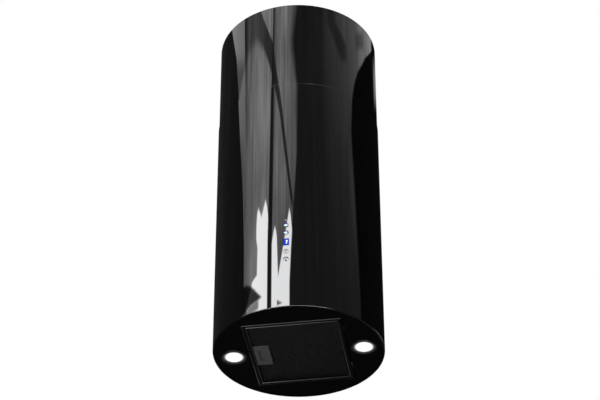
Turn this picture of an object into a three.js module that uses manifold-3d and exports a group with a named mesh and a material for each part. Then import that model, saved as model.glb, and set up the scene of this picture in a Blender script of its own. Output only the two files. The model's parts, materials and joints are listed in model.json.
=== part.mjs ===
// Cylindrical island range hood: a gloss black steel tube hung from the ceiling, with a telescopic upper tube,
// a double-inlet blower, a round base panel with two LED lamps, and a hinged grease filter.
// Millimetres, +Z up. The origin is the middle of the ceiling plate's top face, so the hood hangs below z = 0.
// The controls face -Y, the lamps lie along X. Hood pieces are placed by their height above the hood's lower rim.
import * as THREE from "three";
import { mergeVertices } from "three/addons/utils/BufferGeometryUtils.js";
import Module from "manifold-3d";

const wasm = await Module();
wasm.setup();

// ---- Driving dimensions ----

const TUBE_RADIUS = 195; // outside of the lower tube
const TOTAL_HEIGHT = 880; // ceiling to lower rim, as hung
const LOWER_LENGTH = 630; // lower tube
const UPPER_LENGTH = 460; // upper tube, mostly inside the lower one
const SHEET = 1; // tube wall
const SLIDE_GAP = 0.4; // between the upper tube and the lower tube
const GAP = 0.3; // between pieces that rest on each other
const TRAVEL_UP = 160; // how far the hood rises from here when the tubes close up

const LOWER_INNER = TUBE_RADIUS - SHEET;
const UPPER_RADIUS = LOWER_INNER - SLIDE_GAP;
const UPPER_INNER = UPPER_RADIUS - SHEET;
const ROUND = 72; // facets of a full-size round
const MEDIUM_ROUND = 36; // facets of a hand-size round
const SMALL_ROUND = 20; // facets of a small round

// Filter and its opening: x is the short side, between the lamps.
const OPENING = { x: 227, y: 259 };
const FILTER = { x: 223, y: 255, bottom: 0.2, height: 9, rail: 12, sheet: 1.2 };
const PANEL = { bottom: 2, sheet: 1.2, radius: LOWER_INNER - 0.7, rimHeight: 20, flangeHeight: 14 };
const PANEL_TOP = PANEL.bottom + PANEL.sheet;
const LAMP = { offset: 148.5, lens: 24.3, bezel: 30, hole: 28 };

// Controls on the front of the lower tube, as heights above the lower rim.
const DISPLAY = { height: 171, width: 14, tall: 19 };
const BUTTON = { heights: [125, 145.5, 196.5, 217], radius: 6.2, hole: 6.5, travel: 1.2 };
const STATUS_HEIGHT = 231;

// Chassis drum, blower and outlet.
const DRUM = { radius: 189.2, bottom: 240, top: 342, sheet: 1.2, hole: 74 };
const RING = { bottom: 244, height: 12 };
const WHEEL = { y: -37, height: 205, radius: 70, bladeInner: 57, half: 66, blades: 24 };
const SCROLL = { half: 75, wall: 2, small: 77, large: 112, cutoff: 240, inlet: 58 };
const COLLAR = { radius: 75, wall: 2, height: 60, flange: 90 };
const COLLAR_BASE = DRUM.top + GAP;
const FLAP = { radius: 71.5, thick: 1.2, pin: 1.8, bore: 2.1, knuckle: 3.6, height: 362 };

// Telescopic struts: L sections, the hood's inside the ceiling's.
const STRUT = { outer: 112, leg: 25, sheet: 2, upperLength: 368, slot: 5.6 };
const LOWER_STRUT_TOP = TOTAL_HEIGHT - TRAVEL_UP - 8;
const BOLT = { height: LOWER_STRUT_TOP - 15, shank: 2.4, along: 98 };

// ---- Geometry helpers: three.js makes every shape, manifold-3d only joins and cuts ----

function solidOf(geometry) {
  const bare = new THREE.BufferGeometry().setAttribute("position", geometry.getAttribute("position"));
  bare.setIndex(geometry.index);
  const merged = mergeVertices(bare, 1e-4);
  const vertProperties = new Float32Array(merged.attributes.position.array);
  return new wasm.Manifold(new wasm.Mesh({ numProp: 3, vertProperties, triVerts: new Uint32Array(merged.index.array) }));
}

function geometryOf(solid) {
  const mesh = solid.getMesh();
  const geometry = new THREE.BufferGeometry();
  geometry.setAttribute("position", new THREE.BufferAttribute(mesh.vertProperties, 3));
  geometry.setIndex(new THREE.BufferAttribute(mesh.triVerts, 1));
  const flat = geometry.toNonIndexed();
  flat.computeVertexNormals();
  return flat;
}

const join = (...pieces) => geometryOf(pieces.map(solidOf).reduce((whole, piece) => whole.add(piece)));
const cut = (body, ...tools) => geometryOf(tools.map(solidOf).reduce((rest, tool) => rest.subtract(tool), solidOf(body)));

// A box between two corners.
function block([x0, y0, z0], [x1, y1, z1]) {
  return new THREE.BoxGeometry(x1 - x0, y1 - y0, z1 - z0).translate((x0 + x1) / 2, (y0 + y1) / 2, (z0 + z1) / 2);
}

// A rod from z = from to z = to, on the Z axis, then moved sideways to (x, y).
function rod(radius, from, to, x = 0, y = 0, facets = SMALL_ROUND) {
  return new THREE.CylinderGeometry(radius, radius, to - from, facets)
    .rotateX(Math.PI / 2)
    .translate(x, y, (from + to) / 2);
}

// Rods along X and Y, between two ends, through a point of the other two coordinates.
const rodX = (radius, from, to, y, z, facets = SMALL_ROUND) =>
  rod(radius, from, to, 0, 0, facets).rotateY(Math.PI / 2).translate(0, y, z);
const rodY = (radius, from, to, x, z, facets = SMALL_ROUND) =>
  rod(radius, -to, -from, 0, 0, facets).rotateX(Math.PI / 2).translate(x, 0, z);

// A turned shape about Z from [radius, z] corners, listed anticlockwise. It closes on itself or on the axis.
function turned(corners, facets = ROUND) {
  const closed = corners[0][0] === 0 ? corners : [...corners, corners[0]];
  return new THREE.LatheGeometry(
    closed.map(([radius, z]) => new THREE.Vector2(radius, z)),
    facets,
  ).rotateX(Math.PI / 2);
}

const pipe = (outer, inner, from, to, facets = SMALL_ROUND) =>
  turned(
    [
      [inner, from],
      [outer, from],
      [outer, to],
      [inner, to],
    ],
    facets,
  );

// A rectangle with an outline of given half sizes and rounded corners.
function roundedRectangle(halfX, halfY, radius) {
  const shape = new THREE.Shape();
  shape.moveTo(-halfX + radius, -halfY);
  shape.lineTo(halfX - radius, -halfY);
  shape.absarc(halfX - radius, -halfY + radius, radius, -Math.PI / 2, 0, false);
  shape.absarc(halfX - radius, halfY - radius, radius, 0, Math.PI / 2, false);
  shape.absarc(-halfX + radius, halfY - radius, radius, Math.PI / 2, Math.PI, false);
  shape.absarc(-halfX + radius, -halfY + radius, radius, Math.PI, 1.5 * Math.PI, false);
  return shape;
}

// A flat plate of a shape, from z = from to z = to.
const plate = (shape, from, to, curveSegments = 6) =>
  new THREE.ExtrudeGeometry(shape, { depth: to - from, bevelEnabled: false, curveSegments }).translate(0, 0, from);

// A shape drawn in (y, z) and extruded along X.
const plateX = (shape, from, to) =>
  new THREE.ExtrudeGeometry(shape, { depth: to - from, bevelEnabled: false })
    .translate(0, 0, from)
    .applyMatrix4(new THREE.Matrix4().makeBasis(Y_AXIS, Z_AXIS, X_AXIS));
const X_AXIS = new THREE.Vector3(1, 0, 0);
const Y_AXIS = new THREE.Vector3(0, 1, 0);
const Z_AXIS = new THREE.Vector3(0, 0, 1);

// ---- Materials ----

const finish = (color, roughness, metalness) => new THREE.MeshStandardMaterial({ color, roughness, metalness });
const GLOSS_BLACK = finish(0x0b0b0c, 0.06, 0.1);
const PANEL_BLACK = finish(0x0a0a0a, 0.25, 0.1);
const FILTER_BLACK = finish(0x141414, 0.45, 0.6);
const LATCH_GREY = finish(0x3a3a3b, 0.45, 0);
const GALVANISED = finish(0xa9adb0, 0.45, 0.9);
const ALUMINIUM = finish(0xc4c6c8, 0.35, 0.9);
const SPRING_STEEL = finish(0x8e9194, 0.3, 1);
const BLACK_PLASTIC = finish(0x1c1c1d, 0.5, 0);
const GREY_PLASTIC = finish(0x6f7275, 0.55, 0);
const CIRCUIT_GREEN = finish(0x1f5a34, 0.5, 0);
const LENS_WHITE = finish(0xf7f8ff, 0.3, 0);
const DISPLAY_BLUE = finish(0x2a3fb5, 0.2, 0);

function mesh(name, geometry, material, position = [0, 0, 0]) {
  const made = new THREE.Mesh(geometry, material);
  made.name = name;
  made.position.set(...position);
  return made;
}

function group(position, ...children) {
  const made = new THREE.Group();
  made.position.set(...position);
  made.add(...children.flat());
  return made;
}

// ---- Ceiling frame: fixed to the ceiling ----

function ceilingPlate() {
  const thick = 2;
  const armEnd = UPPER_INNER - 2.1;
  const half = 125;
  const armHalf = 20;
  const hole = 84;
  const lugHeight = 22;
  const tabHeight = 30;
  const pieces = [plate(roundedRectangle(half, half, 12), -thick, 0, 3)];
  const tools = [rod(hole, -thick - 1, 1, 0, 0, MEDIUM_ROUND)];
  for (let i = 0; i < 4; i++) {
    const turn = (i * Math.PI) / 2;
    const arm = block([half - 20, -armHalf, -thick], [armEnd, armHalf, 0]);
    const lug = block([armEnd - thick, -armHalf, -lugHeight], [armEnd, armHalf, 0]);
    const slot = join(
      block([135, -3.5, -thick - 1], [160, 3.5, 1]),
      rod(3.5, -thick - 1, 1, 135, 0, 12),
      rod(3.5, -thick - 1, 1, 160, 0, 12),
    );
    const lugHole = rodX(2.2, armEnd - thick - 1, armEnd + 1, 0, -13, 8);
    pieces.push(arm.rotateZ(turn), lug.rotateZ(turn));
    tools.push(slot.rotateZ(turn), lugHole.rotateZ(turn));
  }
  // A tab beside each strut, on the face that carries no bolt.
  const tabInner = STRUT.outer + GAP;
  for (const sx of [-1, 1]) {
    for (const sy of [-1, 1]) {
      const x = [sx * (STRUT.outer - 24), sx * (STRUT.outer - 2)].sort((a, b) => a - b);
      const y = [sy * tabInner, sy * (tabInner + thick)].sort((a, b) => a - b);
      pieces.push(block([x[0], y[0], -tabHeight], [x[1], y[1], -thick / 2]));
    }
  }
  return cut(join(...pieces), ...tools);
}

// An L section with its outside corner at (corner, corner), between two heights.
function angleSection(corner, from, to) {
  const inner = corner - STRUT.sheet;
  const end = corner - STRUT.leg;
  const shape = new THREE.Shape();
  shape.moveTo(corner, end);
  shape.lineTo(corner, corner);
  shape.lineTo(end, corner);
  shape.lineTo(end, inner);
  shape.lineTo(inner, inner);
  shape.lineTo(inner, end);
  return plate(shape, from, to);
}

// Both struts have the bolt side in the leg that faces x.
function upperStrut() {
  const top = -2 - GAP;
  const bottom = top - STRUT.upperLength;
  const boltRest = BOLT.height - TOTAL_HEIGHT;
  const slotTop = boltRest + TRAVEL_UP + 5;
  const slotBottom = bottom + 32;
  const half = STRUT.slot / 2;
  const inside = STRUT.outer - STRUT.sheet - 1;
  const outside = STRUT.outer + 1;
  return cut(
    angleSection(STRUT.outer, bottom, top),
    block([inside, BOLT.along - half, slotBottom], [outside, BOLT.along + half, slotTop]),
    rodX(half, inside, outside, BOLT.along, slotBottom, 12),
    rodX(half, inside, outside, BOLT.along, slotTop, 12),
  );
}

function lowerStrut() {
  const corner = STRUT.outer - STRUT.sheet - GAP;
  const foot = DRUM.top + GAP;
  const end = corner - STRUT.leg;
  return cut(
    join(
      angleSection(corner, foot, LOWER_STRUT_TOP),
      block([end, end, foot], [corner - STRUT.sheet / 2, corner - STRUT.sheet / 2, foot + STRUT.sheet]),
    ),
    rodX(BOLT.shank + GAP, corner - STRUT.sheet - 1, corner + 1, BOLT.along, BOLT.height, 12),
    rod(2.5, foot - 1, foot + STRUT.sheet + 1, end + 9, end + 9, 12),
  );
}

// Bolt, washer and nut, tightened through an upper strut's slot and a lower strut's hole.
function strutBolt() {
  const headFace = STRUT.outer + GAP;
  const nutFace = STRUT.outer - 2 * STRUT.sheet - 2 * GAP;
  return join(
    rodX(6, headFace, headFace + 1, BOLT.along, 0, 12),
    rodX(4.6, headFace + 0.5, headFace + 4.5, BOLT.along, 0, 6),
    rodX(BOLT.shank, nutFace - 5, headFace + 1, BOLT.along, 0, 10),
    rodX(4.6, nutFace - 4, nutFace, BOLT.along, 0, 6),
  );
}

// A quarter turn of a strut piece about Z, mirrored as needed, so that its bolt side keeps facing x.
const CORNERS = [
  ["front_right", 1, -1],
  ["back_right", 1, 1],
  ["back_left", -1, 1],
  ["front_left", -1, -1],
];

function atCorner(geometry, sx, sy) {
  const placed = geometry.clone().scale(sx, sy, 1);
  if (sx * sy > 0) return placed;
  // A mirrored shape has its triangles turned round, so that they face out again.
  const position = placed.getAttribute("position");
  const index = placed.index ?? new THREE.BufferAttribute(Uint32Array.from({ length: position.count }, (_, i) => i), 1);
  const flipped = new Uint32Array(index.array);
  for (let i = 0; i < flipped.length; i += 3) {
    [flipped[i + 1], flipped[i + 2]] = [flipped[i + 2], flipped[i + 1]];
  }
  placed.setIndex(new THREE.BufferAttribute(flipped, 1));
  return placed;
}

function ceilingFrame() {
  const strut = upperStrut();
  return group(
    [0, 0, 0],
    mesh("ceiling_plate", ceilingPlate(), GALVANISED),
    mesh("upper_tube", pipe(UPPER_RADIUS, UPPER_INNER, -UPPER_LENGTH, 0, ROUND), GLOSS_BLACK),
    CORNERS.map(([corner, sx, sy]) => mesh(`upper_strut_${corner}`, atCorner(strut, sx, sy), GALVANISED)),
  );
}

// ---- Hood casing: lower tube, base panel, chassis drum and lower struts ----

function lowerTube() {
  const hem = 3.5;
  const hemThick = 1.5;
  const shell = turned([
    [TUBE_RADIUS - hem, 0],
    [TUBE_RADIUS, 0],
    [TUBE_RADIUS, LOWER_LENGTH],
    [LOWER_INNER, LOWER_LENGTH],
    [LOWER_INNER, hemThick],
    [TUBE_RADIUS - hem, hemThick],
  ]);
  const outside = -TUBE_RADIUS - 5;
  const inside = -TUBE_RADIUS + 10;
  const half = DISPLAY.width / 2;
  return cut(
    shell,
    ...BUTTON.heights.map((height) => rodY(BUTTON.hole, outside, inside, 0, height)),
    rodY(2.3, outside, inside, 0, STATUS_HEIGHT, 12),
    block([-half, outside, DISPLAY.height - DISPLAY.tall / 2], [half, inside, DISPLAY.height + DISPLAY.tall / 2]),
  );
}

function basePanel() {
  const { bottom, sheet, radius, rimHeight, flangeHeight } = PANEL;
  const dish = turned([
    [0, bottom],
    [radius, bottom],
    [radius, bottom + rimHeight],
    [radius - sheet, bottom + rimHeight],
    [radius - sheet, bottom + sheet],
    [0, bottom + sheet],
  ]);
  const halfX = OPENING.x / 2;
  const halfY = OPENING.y / 2;
  const top = PANEL_TOP + flangeHeight;
  const flange = block([-halfX - sheet, -halfY - sheet, bottom + sheet / 2], [halfX + sheet, halfY + sheet, top]);
  const tools = [block([-halfX, -halfY, bottom - 1], [halfX, halfY, top + 1])];
  for (const side of [-1, 1]) {
    tools.push(rod(LAMP.hole, bottom - 1, PANEL_TOP + 1, side * LAMP.offset, 0, MEDIUM_ROUND));
    // The two hooks of the filter reach through these slots.
    const slot = HOOK.offset * side;
    tools.push(
      block([halfX - 1, slot - HOOK.width / 2 - 2, PANEL_TOP], [halfX + sheet + 1, slot + HOOK.width / 2 + 2, 8.6]),
    );
  }
  // The catch for the latch's tongue.
  tools.push(block([-halfX - sheet - 1, -9, 4.4], [-halfX + 1, 9, 8.4]));
  return cut(join(dish, flange), ...tools);
}

function motorChassis() {
  const { radius, bottom, top, sheet, hole } = DRUM;
  return turned([
    [radius - sheet, bottom],
    [radius, bottom],
    [radius, top],
    [hole, top],
    [hole, top - 2],
    [radius - sheet, top - 2],
  ]);
}

function lampPieces(name, side) {
  const bezel = turned(
    [
      [LAMP.lens, 0.6],
      [LAMP.bezel, 0.6],
      [LAMP.bezel, PANEL.bottom - GAP],
      [LAMP.hole - 0.6, PANEL.bottom - GAP],
      [LAMP.hole - 0.6, 14],
      [25.6, 14],
      [25.6, 1.4],
      [LAMP.lens, 1.4],
    ],
    MEDIUM_ROUND,
  );
  const fins = [15, 20];
  const heatsink = turned(
    [[0, 4.2], [25.2, 4.2], [25.2, fins[0]], ...fins.flatMap((z) => [[26, z], [26, z + 2], [16, z + 2], [16, z + 4]]), [0, 24]],
    SMALL_ROUND,
  );
  const arm = new THREE.Shape();
  arm.moveTo(29, 9);
  arm.lineTo(40, PANEL_TOP + GAP);
  arm.lineTo(43, PANEL_TOP + GAP);
  arm.lineTo(43, PANEL_TOP + GAP + 1);
  arm.lineTo(40.6, PANEL_TOP + GAP + 1);
  arm.lineTo(29, 11.6);
  const clip = join(
    pipe(29.8, 28.6, 9, 12),
    plateX(arm, -4, 4),
    plateX(arm, -4, 4).rotateZ(Math.PI),
  );
  return group(
    [side * LAMP.offset, 0, 0],
    mesh(`lamp_bezel_${name}`, bezel, PANEL_BLACK),
    mesh(`lamp_lens_${name}`, rod(25.2, 1.7, 3.7, 0, 0, MEDIUM_ROUND), LENS_WHITE),
    mesh(`lamp_heatsink_${name}`, heatsink, ALUMINIUM),
    mesh(`lamp_clip_${name}`, clip, SPRING_STEEL),
  );
}

function casing() {
  const strut = lowerStrut();
  const bolt = strutBolt().translate(0, 0, BOLT.height);
  return [
    mesh("lower_tube", lowerTube(), GLOSS_BLACK),
    mesh("base_panel", basePanel(), PANEL_BLACK),
    mesh("mounting_ring", pipe(LOWER_INNER - 0.4, DRUM.radius + GAP, RING.bottom, RING.bottom + RING.height, ROUND), GALVANISED),
    mesh("motor_chassis", motorChassis(), GALVANISED),
    ...CORNERS.map(([corner, sx, sy]) => mesh(`lower_strut_${corner}`, atCorner(strut, sx, sy), GALVANISED)),
    ...CORNERS.map(([corner, sx, sy]) => mesh(`strut_bolt_${corner}`, atCorner(bolt, sx, sy), SPRING_STEEL)),
    lampPieces("left", -1),
    lampPieces("right", 1),
  ];
}

// ---- Controls: carrier, board, display, status light and four push buttons ----

// Outside face of the tube at the middle of the front.
const FRONT = -TUBE_RADIUS;

function controlButton() {
  return join(
    rodY(BUTTON.radius, FRONT - 0.6, FRONT + 2.2, 0, 0),
    rodY(7.2, FRONT + 1.8, FRONT + 3, 0, 0),
    rodY(2, FRONT + 2.5, FRONT + 6.4, 0, 0, 12),
  );
}

function controls() {
  const halfWide = DISPLAY.width / 2;
  const halfTall = DISPLAY.tall / 2;
  const boardFace = FRONT + 8.4;
  const low = 112;
  const high = 238;
  const lcd = join(
    block([-halfWide + GAP, FRONT + 0.1, -halfTall + GAP], [halfWide - GAP, FRONT + 3, halfTall - GAP]),
    block([-halfWide - 2, FRONT + 2, -halfTall - 2], [halfWide + 2, boardFace - GAP, halfTall + 2]),
  );
  const carrier = cut(
    block([-15, FRONT + 2, low], [15, boardFace + 5, high]),
    block([-13, FRONT + 1, low + 2], [13, boardFace + 3, high - 2]),
  );
  const light = join(
    rodY(2, FRONT - 0.2, boardFace - GAP, 0, 0, 12),
    rodY(3, FRONT + 2, FRONT + 3.2, 0, 0, 12),
  );
  const button = controlButton();
  const names = ["button_light", "button_speed_down", "button_speed_up", "button_power"];
  return [
    mesh("control_carrier", carrier, BLACK_PLASTIC),
    mesh("control_board", block([-12.5, boardFace, low + 3], [12.5, boardFace + 1.6, high - 3]), CIRCUIT_GREEN),
    mesh("display_module", lcd, DISPLAY_BLUE, [0, 0, DISPLAY.height]),
    mesh("status_light", light, LENS_WHITE, [0, 0, STATUS_HEIGHT]),
    ...names.map((name, i) => mesh(name, button, PANEL_BLACK, [0, 0, BUTTON.heights[i]])),
  ];
}

// ---- Blower: split scroll, double-inlet wheel, motor, bracket and guard, about an axle along X ----

// The scroll's outline, in (y, z) about the wheel's centre: a spiral that opens into a neck, grown by an offset.
function scrollOutline(offset, neckTop) {
  const shape = new THREE.Shape();
  const steps = 30;
  shape.moveTo(SCROLL.large + offset, neckTop);
  for (let i = 0; i <= steps; i++) {
    const share = i / steps;
    const angle = THREE.MathUtils.degToRad(-SCROLL.cutoff * share);
    const radius = SCROLL.large * (SCROLL.small / SCROLL.large) ** share + offset;
    shape.lineTo(radius * Math.cos(angle), radius * Math.sin(angle));
  }
  shape.lineTo(SCROLL.small * Math.cos(THREE.MathUtils.degToRad(SCROLL.cutoff)) - offset, neckTop);
  return shape;
}

// One half of the scroll, on the +X side of the split.
function scrollHalf() {
  const { half, wall, inlet } = SCROLL;
  const neckTop = DRUM.top - 2 - GAP - WHEEL.height;
  const split = GAP / 2;
  const neckMiddle = -WHEEL.y;
  return cut(
    join(
      plateX(scrollOutline(wall, neckTop), split, half + wall),
      block([split, neckMiddle - 88, neckTop - 2], [half + wall + 9, neckMiddle + 88, neckTop]),
    ),
    plateX(scrollOutline(0, neckTop + 5), split - 1, half),
    rodX(inlet, half - 1, half + wall + 1, 0, 0, MEDIUM_ROUND),
  );
}

function impeller() {
  const { radius, bladeInner, half, blades } = WHEEL;
  const rims = [-half, half - 2].map((x) => pipe(radius, bladeInner, x, x + 2, blades));
  const disc = pipe(radius, 5.3, -10, -8, blades);
  const hub = pipe(14, 5.3, -26, -8);
  const pieces = [...rims, disc, hub];
  const middle = (radius + bladeInner) / 2;
  for (let i = 0; i < blades; i++) {
    const blade = block([-6.2, -0.5, -half + 1], [6.2, 0.5, half - 1]);
    pieces.push(
      blade
        .rotateZ(0.6)
        .translate(middle, 0, 0)
        .rotateZ((2 * Math.PI * i) / blades),
    );
  }
  return join(...pieces).rotateY(Math.PI / 2);
}

const MOTOR = { from: 8, to: 77, radius: 42, cavity: 29, shaft: 5, wall: 4 };

function motorCan() {
  const { from, to, radius, cavity, shaft, wall } = MOTOR;
  const bore = shaft + 0.3;
  return turned(
    [
      [bore, from],
      [radius - 6, from],
      [radius, from + 6],
      [radius, to - 6],
      [radius - 6, to],
      [bore, to],
      [bore, to - wall],
      [cavity, to - wall],
      [cavity, from + wall],
      [bore, from + wall],
    ],
    SMALL_ROUND + 4,
  ).rotateY(Math.PI / 2);
}

function motorRotor() {
  const { from, to, cavity, shaft, wall } = MOTOR;
  return turned(
    [
      [0, -30],
      [shaft, -30],
      [shaft, from + wall + 6],
      [cavity - 1, from + wall + 6],
      [cavity - 1, to - wall - 6],
      [shaft, to - wall - 6],
      [shaft, to + 8],
      [0, to + 8],
    ],
    SMALL_ROUND,
  ).rotateY(Math.PI / 2);
}

// A spider that holds the motor's end across the right inlet.
function motorBracket() {
  const from = SCROLL.half + SCROLL.wall + GAP;
  const to = from + 2.5;
  const pieces = [pipe(74, 66, from, to, MEDIUM_ROUND), pipe(34, 11, from, to)];
  const tools = [];
  for (let i = 0; i < 3; i++) {
    const turn = (i * 2 * Math.PI) / 3 + Math.PI / 6;
    pieces.push(block([30, -7, from], [70, 7, to]).rotateZ(turn));
    tools.push(rod(2.5, from - 1, to + 1, 24, 0, 8).rotateZ(turn));
  }
  return cut(join(...pieces), ...tools).rotateY(Math.PI / 2);
}

// Flat finger guard over the left inlet: three bars across it, a boss and a ring.
function inletGuard() {
  const to = -SCROLL.half - SCROLL.wall - GAP;
  const from = to - 2;
  const pieces = [rod(14, from, to, 0, 0, 12), pipe(44, 40, from, to, 12)];
  for (let i = 0; i < 3; i++) {
    pieces.push(block([-68, -2.5, from], [68, 2.5, to]).rotateZ((i * Math.PI) / 3));
  }
  return join(...pieces).rotateY(Math.PI / 2);
}

function blower() {
  const half = scrollHalf();
  const otherHalf = atCorner(half, -1, 1);
  return group(
    [0, WHEEL.y, WHEEL.height],
    mesh("scroll_right", half, BLACK_PLASTIC),
    mesh("scroll_left", otherHalf, BLACK_PLASTIC),
    mesh("fan_wheel", impeller(), GREY_PLASTIC),
    mesh("motor_can", motorCan(), GALVANISED),
    mesh("motor_rotor", motorRotor(), SPRING_STEEL),
    mesh("motor_bracket", motorBracket(), GALVANISED),
    mesh("inlet_guard", inletGuard(), BLACK_PLASTIC),
  );
}

// ---- Outlet: round collar with a pair of non-return flaps on one pin ----

function outletCollar() {
  const { radius, wall, height, flange } = COLLAR;
  const shell = turned(
    [
      [radius - wall, COLLAR_BASE],
      [flange, COLLAR_BASE],
      [flange, COLLAR_BASE + 1.5],
      [radius, COLLAR_BASE + 1.5],
      [radius, COLLAR_BASE + height],
      [radius - wall, COLLAR_BASE + height],
    ],
    MEDIUM_ROUND + 12,
  );
  return cut(shell, rodX(FLAP.pin + GAP, -radius - 2, radius + 2, 0, FLAP.height, 12));
}

// A half disc towards -Y, with two knuckles on the pin. The other flap's knuckles fit between them.
function flap() {
  const { radius, thick, bore, knuckle } = FLAP;
  const edge = knuckle + 0.6;
  const disc = cut(rod(radius, -thick / 2, thick / 2, 0, 0, MEDIUM_ROUND + 12), block([-90, -edge, -5], [90, 90, 5]));
  const spans = [
    [-62, -32],
    [2, 30],
  ];
  const barrels = spans.map(([from, to]) => rodX(knuckle, from, to, 0, 0, 12));
  const webs = spans.map(([from, to]) => block([from, -edge - 1, -thick / 2], [to, -bore - 0.5, thick / 2]));
  return cut(join(disc, ...barrels, ...webs), rodX(bore, -80, 80, 0, 0, 12));
}

function outlet() {
  const front = flap();
  const back = front.clone().rotateZ(Math.PI);
  const pinEnd = COLLAR.radius + 2;
  return [
    mesh("outlet_collar", outletCollar(), BLACK_PLASTIC),
    mesh("flap_pin", rodX(FLAP.pin, -pinEnd, pinEnd, 0, 0, 12), SPRING_STEEL, [0, 0, FLAP.height]),
    mesh("flap_front", front, GREY_PLASTIC, [0, 0, FLAP.height]),
    mesh("flap_back", back, GREY_PLASTIC, [0, 0, FLAP.height]),
  ];
}

// ---- Electrics on top of the chassis drum ----

function electrics() {
  const deck = DRUM.top + GAP;
  const wall = 1.5;
  const [x0, x1, y0, y1] = [-62, 62, 100, 165];
  const height = 46;
  const tray = cut(
    block([x0, y0, deck], [x1, y1, deck + height]),
    block([x0 + wall, y0 + wall, deck + wall], [x1 - wall, y1 - wall, deck + height + 1]),
  );
  const lid = deck + height + GAP;
  const gland = { x: 34, y: 132 };
  const cover = cut(
    join(
      block([x0, y0, lid], [x1, y1, lid + wall]),
      block([x0 + 2, y0 + 2, lid - 4], [x1 - 2, y1 - 2, lid + wall / 2]),
    ),
    block([x0 + 4, y0 + 4, lid - 5], [x1 - 4, y1 - 4, lid]),
    rod(8, lid - 5, lid + 5, gland.x, gland.y),
  );
  const seat = lid + wall + GAP;
  const glandBody = turned(
    [
      [4, lid - 6],
      [7.6, lid - 6],
      [7.6, seat],
      [11, seat],
      [11, seat + 6],
      [9, seat + 6],
      [9, seat + 12],
      [6.5, seat + 17],
      [4, seat + 17],
    ],
    12,
  );
  const capacitor = turned(
    [
      [0, deck],
      [17, deck],
      [17, deck + 52],
      [14, deck + 55],
      [5, deck + 55],
      [5, deck + 60],
      [0, deck + 60],
    ],
    SMALL_ROUND,
  );
  return [
    mesh("electronics_box", tray, BLACK_PLASTIC),
    mesh("electronics_cover", cover, BLACK_PLASTIC),
    mesh("cable_gland", glandBody, GREY_PLASTIC, [gland.x, gland.y, 0]),
    mesh("lamp_driver", block([-48, -158, deck], [48, -112, deck + 24]), GREY_PLASTIC),
    mesh("motor_capacitor", capacitor, ALUMINIUM, [134, 0, 0]),
  ];
}

// ---- Grease filter: framed mesh pack with two hooks and a sprung latch ----

// Pivot of the hooks on the edge of the opening.
const PIVOT = { x: OPENING.x / 2 + 0.6, height: PANEL.bottom + 0.6 };
const HOOK = { offset: 80, width: 22 };
const LATCH = { x0: -99.2, x1: -64, halfY: 39.5, bottom: 0.6, top: 12.6, travel: 6.5 };
const POCKET = { x0: -96, x1: -69, halfY: 25, roof: 11 };
const SLIDER = { x0: -87.5, x1: -76.3 };

function filterFrame() {
  const { x, y, bottom, height, rail, sheet } = FILTER;
  const top = bottom + height;
  const [hx, hy] = [x / 2, y / 2];
  return cut(
    block([-hx, -hy, bottom], [hx, hy, top]),
    block([-hx + rail, -hy + rail, bottom - 1], [hx - rail, hy - rail, top + 1]),
    block([-hx + sheet, -hy + sheet, bottom + sheet], [hx - sheet, hy - sheet, top - sheet]),
    block([-hx - 1, -7.5, 4.7], [-hx + sheet + 1, 7.5, 7.9]),
  );
}

// A layer of the mesh pack, with a window for the latch and a channel for its tongue.
function filterLayer(from, to) {
  const inset = FILTER.sheet + GAP;
  const hx = FILTER.x / 2 - inset;
  const hy = FILTER.y / 2 - inset;
  return cut(
    block([-hx, -hy, from], [hx, hy, to]),
    block([LATCH.x0 - GAP, -LATCH.halfY - GAP, from - 1], [LATCH.x1 + GAP, LATCH.halfY + GAP, to + 1]),
    block([-hx - 1, -8, from - 1], [LATCH.x0, 8, to + 1]),
  );
}

// A bent tab on the right rail that hangs the filter on the edge of the opening.
function filterHook() {
  const half = HOOK.width / 2;
  const under = PIVOT.height + 1.2;
  const railTop = FILTER.bottom + FILTER.height;
  const rail = FILTER.x / 2 + GAP;
  return join(
    block([rail, -half, under], [PIVOT.x + 3.5, half, under + 1.2]),
    block([rail, -half, under], [rail + 1.2, half, railTop + GAP + 1.2]),
    block([rail - 10, -half, railTop + GAP], [rail + 1.2, half, railTop + GAP + 1.2]),
  );
}

function latchHousing() {
  const spring = SPRING.height;
  return cut(
    block([LATCH.x0, -LATCH.halfY, LATCH.bottom], [LATCH.x1, LATCH.halfY, LATCH.top]),
    block([POCKET.x0, -POCKET.halfY, LATCH.bottom - 1], [POCKET.x1, POCKET.halfY, POCKET.roof]),
    block([LATCH.x0 - 1, -7.5, 4.7], [POCKET.x0 + 1, 7.5, 7.9]),
    rodX(1, POCKET.x1 - 1, LATCH.x1 + 1, 0, spring, 12),
  );
}

// The finger bar and its tongue, with a blind hole for the spring.
function latchSlider() {
  const half = POCKET.halfY - 0.6;
  return cut(
    join(
      block([SLIDER.x0, -half, LATCH.bottom + 0.6], [SLIDER.x1, half, POCKET.roof - 0.4]),
      block([-OPENING.x / 2 - 3, -7, 5.2], [SLIDER.x0 + 1, 7, 7.4]),
    ),
    rodX(2.9, SLIDER.x1 - 9, SLIDER.x1 + 1, 0, SPRING.height, 16),
  );
}

const SPRING = { height: 7, radius: 2.1, wire: 0.4, turns: 5, from: SLIDER.x1 - 8.4, to: POCKET.x1 - 0.6 };

class Helix extends THREE.Curve {
  getPoint(share, target = new THREE.Vector3()) {
    const angle = 2 * Math.PI * SPRING.turns * share;
    const x = THREE.MathUtils.lerp(SPRING.from, SPRING.to, share);
    return target.set(x, SPRING.radius * Math.cos(angle), SPRING.radius * Math.sin(angle));
  }
}

function latchSpring() {
  const wire = new THREE.Shape();
  wire.absarc(0, 0, SPRING.wire, 0, 2 * Math.PI);
  const options = { extrudePath: new Helix(), steps: SPRING.turns * 12, curveSegments: 2, bevelEnabled: false };
  return new THREE.ExtrudeGeometry(wire, options);
}

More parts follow.
